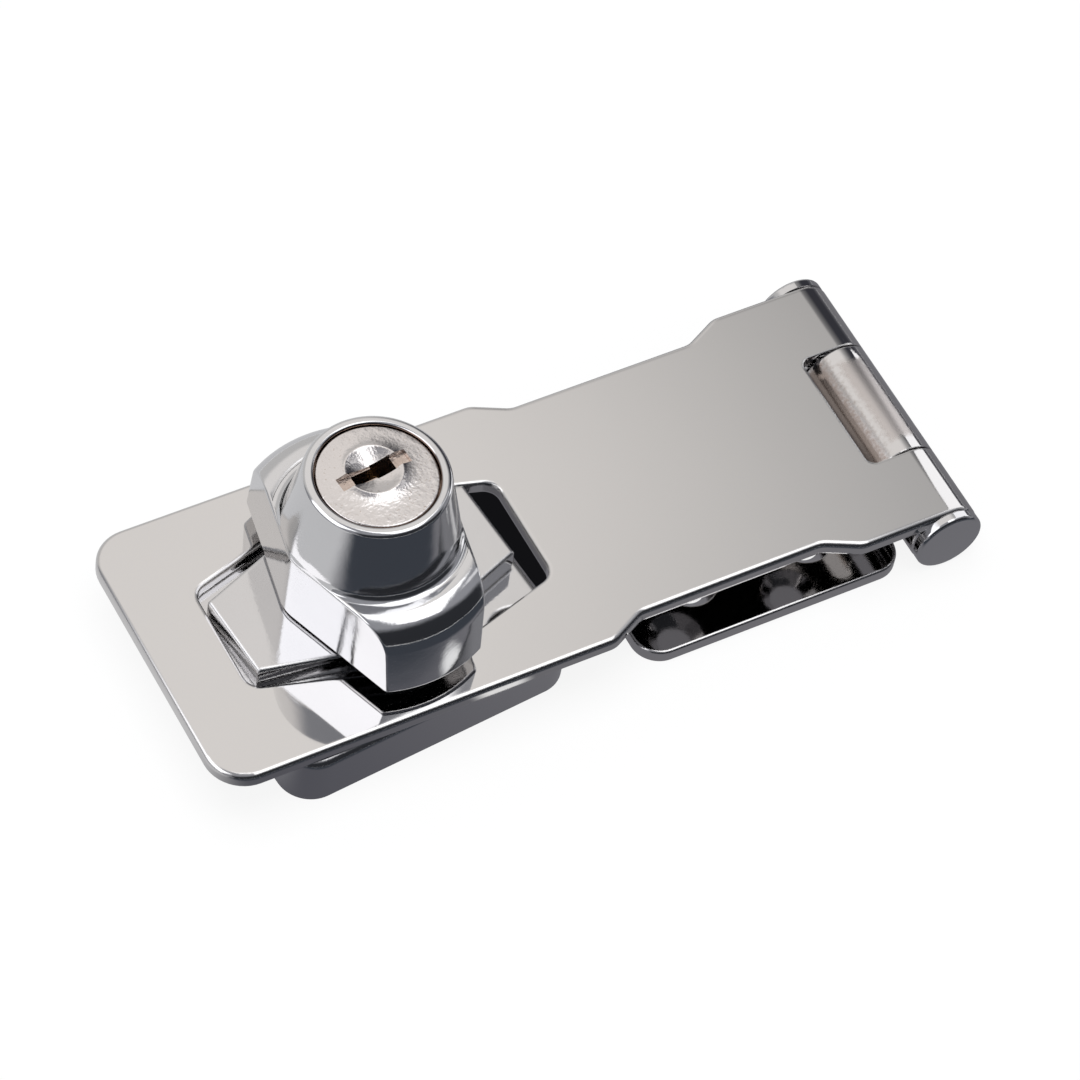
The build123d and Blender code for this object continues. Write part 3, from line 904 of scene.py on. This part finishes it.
@dataclass
class TurnKnob:
    """The knob: one casting of spindle, wings, cone and plug bore.

    Sizes are in millimetres, and a level is a height above the spindle's end.

    Attributes:
        lock: Where the lock stands.
        reach: Radius of the wings' ends at their foot.
        half_width: From the axis to the middle vertex of each side.
        flare: Slope of the side planes.
        vertex_rounding: Rounding of the middle vertex.
        wing_height: From the knob's underside to the wings' top.
        end_draft: Degrees that the wings' ends lean in.
        shoulder: Rounding between the wings' top and their ends.
        crown: Degrees past level to which that rounding goes on.
        cone_height: From the wings' top to the rim.
        cone_foot: Radius of the cone at the wings' top.
        cone_top: Radius of the cone at the rim.
        cone_fillet: Rounding where the cone meets the wings.
        fillet_sink: How far that rounding lies below the wings' top.
        rim_rounding: Rounding of the rim towards the cone.
        lip: Rounding of the rim towards the recess.
        edge: Rounding of the casting's other edges.
        bare_edge: Share of that rounding on the wings' upper edge where the cone meets it.
        spindle: Radius of the spindle.
        recess: Radius of the recess that the plug's face lies in.
        recess_depth: Depth of that recess below the rim.
        bore: Radius of the plug's bore.
        bore_level: Level of its floor.
        groove: Radius of the retaining wafer's groove.
        groove_level: Level of the groove's middle.
        groove_half: Half the groove's height.
        tail_bore: Radius of the bore for the plug's tail.
        tail_level: Level of its floor.
        channel: Width and height of the bolt's channel.
        channel_level: Level of its middle.
        screw_hole: Width and length of a plate screw's hole.
        screw_level: Level of the hole's middle.
        screw_offset: From the axis to the middle of the hole.
        columns: Grid columns over a side, a corner and an end, in a quarter.
        corner_span: Half the angle that the corner's columns take, in radians.
    """

    lock: LockFrame
    reach: float = 17.95
    half_width: float = 11.6
    flare: float = 0.28
    vertex_rounding: float = 5.0
    wing_height: float = 10.8
    end_draft: float = 6.0
    shoulder: float = 4.0
    crown: float = 11.0
    cone_height: float = 10.2
    cone_foot: float = 11.3
    cone_top: float = 9.15
    cone_fillet: float = 1.2
    fillet_sink: float = 0.16
    rim_rounding: float = 0.75
    lip: float = 0.38
    edge: float = 0.4
    bare_edge: float = 0.2
    spindle: float = 8.0
    recess: float = 7.8
    recess_depth: float = 2.55
    bore: float = 6.01
    bore_level: float = 6.3
    groove: float = 6.85
    groove_level: float = 8.4
    groove_half: float = 0.7
    tail_bore: float = 3.46
    tail_level: float = 1.8
    channel: Pair = (7.8, 2.6)
    channel_level: float = 3.0
    screw_hole: Pair = (2.12, 4.8)
    screw_level: float = 2.2
    screw_offset: float = 5.9
    columns: tuple[int, int, int] = (30, 12, 14)
    corner_span: float = 0.05

    def __post_init__(self) -> None:
        """Read the knob's heights from its CAD node and work out the side planes' place."""
        low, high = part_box("turn_knob")
        self.bottom = low.z / MM
        self.rim = high.z / MM
        self.wing_top = self.rim - self.cone_height
        self.under = self.wing_top - self.wing_height
        self.slope = atan2(self.flare, 1)
        self.side_distance = self.half_width * cos(self.slope)

    def end_rounding(self, height: float, rounding: float) -> Pair:
        """Return the centre of a rounding that touches the wings' ends.

        Args:
            height: Height of the centre.
            rounding: Radius of the rounding.

        Returns:
            Radius and height of the centre.
        """
        draft = radians(self.end_draft)
        touch = height + rounding * sin(draft)
        wall = self.reach - tan(draft) * (touch - self.under)
        return wall - rounding * cos(draft), height

    def cone(self, height: float) -> float:
        """Return the radius of the cone at a height."""
        share = (height - self.wing_top) / self.cone_height
        return self.cone_foot + share * (self.cone_top - self.cone_foot)

    def section(self) -> tuple[Array, Array]:
        """Return the turned section and, for each point, the radius that sets the corners' places.

        The section runs from the spindle's end out, up the wings' ends, over the shoulder, up the
        cone, over the rim and down the bore.

        Returns:
            The section's points, and the radius at which the side planes are met.
        """
        draft = self.end_draft
        lean = degrees(atan2(self.cone_foot - self.cone_top, self.cone_height))
        fillet_z = self.wing_top + self.cone_fillet - self.fillet_sink
        fillet_r = self.cone(fillet_z) + self.cone_fillet / cos(radians(lean))
        rim_z = self.rim - self.rim_rounding
        rim_r = self.cone(rim_z) - self.rim_rounding / cos(radians(lean))
        floor = self.rim - self.recess_depth
        groove_z = self.bottom + self.groove_level
        bore_floor = self.bottom + self.bore_level
        tail_floor = self.bottom + self.tail_level
        shoulder_centre = self.end_rounding(self.wing_top - self.shoulder, self.shoulder)
        foot = arc(self.end_rounding(self.under + self.edge, self.edge), self.edge, -90, draft, 7)
        shoulder = arc(shoulder_centre, self.shoulder, draft, 90 + self.crown, 28)
        fillet = arc((fillet_r, fillet_z), self.cone_fillet, self.crown - 90, lean - 180, 20)
        rim = arc((rim_r, rim_z), self.rim_rounding, lean, 90, 9)
        lip = arc((self.recess + self.lip, self.rim - self.lip), self.lip, 90, 180, 7)
        below = np.concatenate((
            *runs((0, self.bottom), (self.spindle, self.bottom), (self.spindle, self.under)),
            run((self.spindle, self.under), foot[0], inner=4),
        ))
        walls = np.concatenate((foot, run(foot[-1], shoulder[0], inner=3), shoulder))
        above = np.concatenate((
            run(shoulder[-1], fillet[0]),
            fillet,
            run(fillet[-1], rim[0], inner=14),
            rim,
            run(rim[-1], lip[0]),
            lip,
            *runs((self.recess, self.rim - self.lip), (self.recess, floor), (self.bore, floor),
                  (self.bore, groove_z + self.groove_half),
                  (self.groove, groove_z + self.groove_half),
                  (self.groove, groove_z - self.groove_half),
                  (self.bore, groove_z - self.groove_half), (self.bore, bore_floor),
                  (self.tail_bore, bore_floor), (self.tail_bore, tail_floor), (0, tail_floor)),
        ))
        corner_radii = np.concatenate((np.full(len(below), foot[0, 0]), walls[:, 0],
                                       np.full(len(above), shoulder_centre[0])))
        return np.concatenate((below, walls, above)), corner_radii

    def side_radius(self, angles: Array, inset: Array) -> Array:
        """Return the radius at which a ray from the axis meets the six-sided outline.

        Up to the rounded middle vertex's tangent the ray meets the rounding's circle, and past it
        the side plane, which lies at a fixed distance along its own normal.

        Args:
            angles: Angles from the knob's short axis, in radians, 0 to a quarter turn.
            inset: How far the outline is drawn in.

        Returns:
            The radii.
        """
        centre = self.half_width - self.vertex_rounding / cos(self.slope)
        rounding = self.vertex_rounding - inset
        tangent = np.arctan2(rounding * sin(self.slope), centre + rounding * cos(self.slope))
        inside = np.maximum(rounding**2 - (centre * np.sin(angles)) ** 2, 0)
        vertex = centre * np.cos(angles) + np.sqrt(inside)
        plane = (self.side_distance - inset) / np.cos(angles - self.slope)
        return np.where(angles < tangent, vertex, plane)

    def surface(self) -> Array:
        """Return the knob's grid of points, one row for each point of the section.

        Along each row the angle goes once round. In each quarter it is spread in three spans: the
        side, a close span over the corner where the end meets the side plane, and the end. The
        radius is the soft minimum of the section's own and of the six-sided outline's, which is
        drawn in along its upper and lower edges to round them.

        Returns:
            Array of rows by columns by 3.
        """
        section, corner_radii = self.section()
        radii, heights = section[:, 0, None], section[:, 1, None]
        leaning = np.arccos(np.clip(self.side_distance / corner_radii, -1, 1))
        corner = self.slope + leaning[:, None]
        side, close, end = self.columns
        spans = np.concatenate((np.linspace(0, 1, side, endpoint=False),
                                np.linspace(1, 2, close, endpoint=False),
                                np.linspace(2, 3, end)))[None, :]
        quarter = (np.clip(spans, 0, 1) * (corner - self.corner_span)
                   + np.clip(spans - 1, 0, 1) * 2 * self.corner_span
                   + np.clip(spans - 2, 0, 1) * (pi / 2 - corner - self.corner_span))
        lower = np.clip(self.under + self.edge - heights, 0, self.edge)
        upper = np.clip(heights - self.wing_top + self.edge, 0, self.edge)
        plain = self.side_radius(quarter, np.zeros_like(quarter))
        room = np.clip(plain - self.cone_foot, 0, 1)
        upper_share = self.bare_edge + (1 - self.bare_edge) * room
        inset = (self.edge - np.sqrt(self.edge**2 - lower**2)
                 + (self.edge - np.sqrt(self.edge**2 - upper**2)) * upper_share)
        ray = soft_min(radii + 0 * quarter, self.side_radius(quarter, inset), self.edge)
        mirrored, back = pi - quarter[:, :0:-1], ray[:, :0:-1]
        angles = np.concatenate((quarter[:, :-1], mirrored, pi + quarter[:, :-1], pi + mirrored),
                                axis=1)
        rays = np.concatenate((ray[:, :-1], back, ray[:, :-1], back), axis=1)
        return np.stack((rays * np.cos(angles), rays * np.sin(angles), heights + 0 * rays), axis=-1)

    def cutters(self) -> list[Cutter]:
        """Return the boxes of the bolt's channel, right through the spindle, and of the screws."""
        width, length = self.screw_hole
        boxes = [Cutter((0, 0, self.bottom + self.channel_level),
                        (2 * self.spindle + 2, *self.channel))]
        for side in (-1, 1):
            boxes.append(Cutter((0, side * self.screw_offset, self.bottom + self.screw_level),
                                (width, width, length)))
        return boxes

    def build(self) -> None:
        """Make the knob, with the bolt's channel and the plate screws' holes."""
        knob = cast("knob_casting", self.lock, [self.surface()], self.cutters())
        smooth(knob, 35)
        coat(knob, KNOB_CHROME.material())
        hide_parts("turn_knob")
        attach(knob, Body.KNOB.value)
        LOG.info("built the knob, %d faces", len(knob.data.polygons))


@dataclass
class KeyPlug:
    """The key plug: face with dish and keyway, barrel, tail and peg.

    Sizes are in millimetres, and a level is a height above the barrel's foot.

    Attributes:
        lock: Where the lock stands.
        face: Radius of the face.
        face_height: From the peg's end up to the CAD node's face.
        face_lift: How far the face's edge stands above the CAD node's.
        face_thickness: Thickness of the face at its edge.
        face_edge: Rounding of the face's edge.
        edge_fade: Distance from that edge over which the face flattens out.
        dome: Height of the dish's lip above the face's edge.
        burr: Height of the steeper ridge on top of that lip.
        burr_spread: Distance over which that ridge falls.
        spread: Distance over which the face falls from the lip towards its edge.
        dish: Radius of the dish.
        dish_depth: Its depth.
        shift: How far keyway and dish lie off the axis.
        lip: Height over which the dish's lip is rounded.
        barrel: Radius of the barrel.
        tail: Radius of the tail.
        tail_height: Height of the tail and its shoulder.
        peg: Radius of the peg.
        peg_place: Distance and angle in degrees of the peg from the axis.
        peg_height: Height of the peg.
        peg_root: How far the peg reaches into the tail.
        keyway: Width and thickness of the keyway.
        keyway_step: Width and thickness of its thicker half.
        step_place: From the keyway's middle to that half's.
        keyway_level: Level of the keyway's end.
        mouth: Width, thickness and depth of the keyway's mouth.
        keeper_slot: Size of the keeper's slot.
        keeper_place: How far that slot lies off the axis, and its level.
        wafers: Number of wafers.
        wafer_slot: Size of a wafer's slot.
        wafer_level: Level of the first.
        wafer_pitch: From one wafer to the next.
        pocket: Size of a wafer spring's pocket.
        pocket_place: Place of that pocket off the axis.
        columns: Grid columns round the plug.
        rings: Grid rows over the face.
    """

    lock: LockFrame
    face: float = 7.65
    face_height: float = 27.2
    face_lift: float = 0.26
    face_thickness: float = 1.9
    face_edge: float = 0.25
    edge_fade: float = 0.6
    dome: float = 0.28
    burr: float = 0.2
    burr_spread: float = 0.6
    spread: float = 1.5
    dish: float = 3.6
    dish_depth: float = 0.8
    shift: float = 0.9
    lip: float = 0.16
    barrel: float = 5.95
    tail: float = 3.4
    tail_height: float = 2.1
    peg: float = 1.0
    peg_place: Pair = (2.0, 225.0)
    peg_height: float = 2.4
    peg_root: float = 0.1
    keyway: Pair = (5.7, 1.5)
    keyway_step: Pair = (2.87, 2.2)
    step_place: float = 1.43
    keyway_level: float = 3.4
    mouth: Triple = (9.8, 2.0, 0.45)
    keeper_slot: Triple = (9.2, 4.56, 1.16)
    keeper_place: Pair = (1.6, 2.0)
    wafers: int = 5
    wafer_slot: Triple = (13.0, 5.16, 1.06)
    wafer_level: float = 5.0
    wafer_pitch: float = 2.6
    pocket: Triple = (5.7, 1.9, 1.8)
    pocket_place: Pair = (-0.3, 3.3)
    columns: int = 144
    rings: int = 72

    def __post_init__(self) -> None:
        """Read the plug's heights from its CAD node."""
        low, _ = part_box("key_plug")
        self.bottom = low.z / MM
        self.edge_z = self.bottom + self.face_height + self.face_lift
        self.shoulder_z = self.bottom + self.peg_height + self.tail_height

    def surface(self) -> Array:
        """Return the plug's grid: a turned section whose top is a dome with a dish in it.

        Round the dish the face falls from the lip to the edge with the exponential of the distance
        from the lip, the dish rises with the square of the distance from its own middle, and the
        face is the soft minimum of the two.

        Returns:
            Array of rows by columns by 3.
        """
        under = self.edge_z - self.face_thickness
        tail_z = self.bottom + self.peg_height
        edge = arc((self.face - self.face_edge, self.edge_z - self.face_edge), self.face_edge,
                   0, 88, 8)
        sides = np.concatenate((
            *runs((0, tail_z), (self.tail, tail_z), (self.tail, self.shoulder_z),
                  (self.barrel, self.shoulder_z), (self.barrel, under), (self.face, under),
                  edge[0]),
            edge,
        ))
        angles = np.linspace(0, 2 * pi, self.columns, endpoint=False)[None, :]
        radii = np.linspace(edge[-1, 0], 0, self.rings)[1:, None]
        x, y = radii * np.cos(angles), radii * np.sin(angles)
        apart = np.hypot(x, y - self.shift)
        away = np.maximum(apart - self.dish, 0)
        fall = (self.dome * np.exp(-away / self.spread)
                + self.burr * np.exp(-away / self.burr_spread))
        close = np.clip((edge[-1, 0] - radii) / self.edge_fade, 0, 1)
        domed = edge[-1, 1] + fall * close * (2 - close)
        top = self.edge_z + self.dome + self.burr
        dished = top - self.dish_depth + self.dish_depth / self.dish**2 * apart**2
        face = np.stack((x, y, soft_min(domed, dished, self.lip)), axis=-1)
        return np.concatenate((turned(sides, self.columns), face))

    def peg_surface(self) -> Array:
        """Return the grid of the peg, a closed round bar that reaches into the tail."""
        top = self.bottom + self.peg_height + self.peg_root
        section = np.array(((0, self.bottom), (self.peg, self.bottom), (self.peg, top), (0, top)))
        distance, angle = self.peg_place
        shift = (distance * cos(radians(angle)), distance * sin(radians(angle)), 0)
        return turned(section, 32) + np.array(shift)

    def cutters(self) -> list[Cutter]:
        """Return the boxes of the keyway, the wafers' slots and the springs' pockets.

        The keyway's boxes stand past the face, and its thicker half a little further, so that no
        two of their ends coincide.
        """
        past, further = 2, 0.01
        deep = self.shoulder_z + self.keyway_level
        tall = self.edge_z + past - deep
        middle = deep + tall / 2
        *mouth, depth = self.mouth
        keeper_x, keeper_z = self.keeper_place
        boxes = [
            Cutter((0, self.shift, self.edge_z - depth + past / 2), (*mouth, past)),
            Cutter((0, self.shift, middle), (*self.keyway, tall)),
            Cutter((self.step_place, self.shift, middle + further), (*self.keyway_step, tall)),
            Cutter((keeper_x, 0, self.shoulder_z + keeper_z), self.keeper_slot),
        ]
        for step in range(self.wafers):
            level = self.shoulder_z + self.wafer_level + self.wafer_pitch * step
            boxes.append(Cutter((0, 0, level), self.wafer_slot))
            boxes.append(Cutter((*self.pocket_place, level), self.pocket))
        return boxes

    def build(self) -> None:
        """Make the plug, with its keyway, slots and pockets."""
        grids = [self.surface(), self.peg_surface()]
        plug = cast("plug_barrel", self.lock, grids, self.cutters())
        smooth(plug, 30)
        coat(plug, PLUG_CHROME.material())
        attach(plug, Body.PLUG.value)
        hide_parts("key_plug")
        LOG.info("built the plug, %d faces", len(plug.data.polygons))


NODE_FINISHES: dict[str, PlatedFinish] = {
    "hasp_strap": STRAP_CHROME,
    "hinge_leaf": LEAF_CHROME,
    "hinge_pin": PIN_CHROME,
    "pin_cap": PIN_CHROME,
    "lock_case": CASE_CHROME,
    "turn_knob": KNOB_CHROME,
    "key_plug": PLUG_CHROME,
    "plug_keeper": BRASS,
    "locking_bolt": ZINC_STEEL,
    "retaining_plate": ZINC_STEEL,
    "plate_screw_1": ZINC_STEEL,
    "plate_screw_2": ZINC_STEEL,
}


def dress_nodes(nodes: dict[str, Piece]) -> None:
    """Give each node of the frame its finish, where wafers are brass and springs are steel.

    Args:
        nodes: The frame's objects by node name.
    """
    made: dict[str, bpy.types.Material] = {}
    for name, piece in nodes.items():
        finish = NODE_FINISHES.get(name, SPRING_STEEL if "spring" in name else BRASS)
        if finish.name not in made:
            made[finish.name] = finish.material()
        coat(piece, made[finish.name])
        LOG.info("dressed %s in %s", name, finish.name)


def main() -> None:
    """Load the frame, dress it and build the studio."""
    logging.basicConfig(level=logging.INFO, format="%(message)s")
    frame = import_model()
    Studio().build()
    dress_nodes(frame["nodes"])
    lock = LockFrame.read(frame)
    TurnKnob(lock).build()
    KeyPlug(lock).build()


if __name__ == "__main__":
    main()
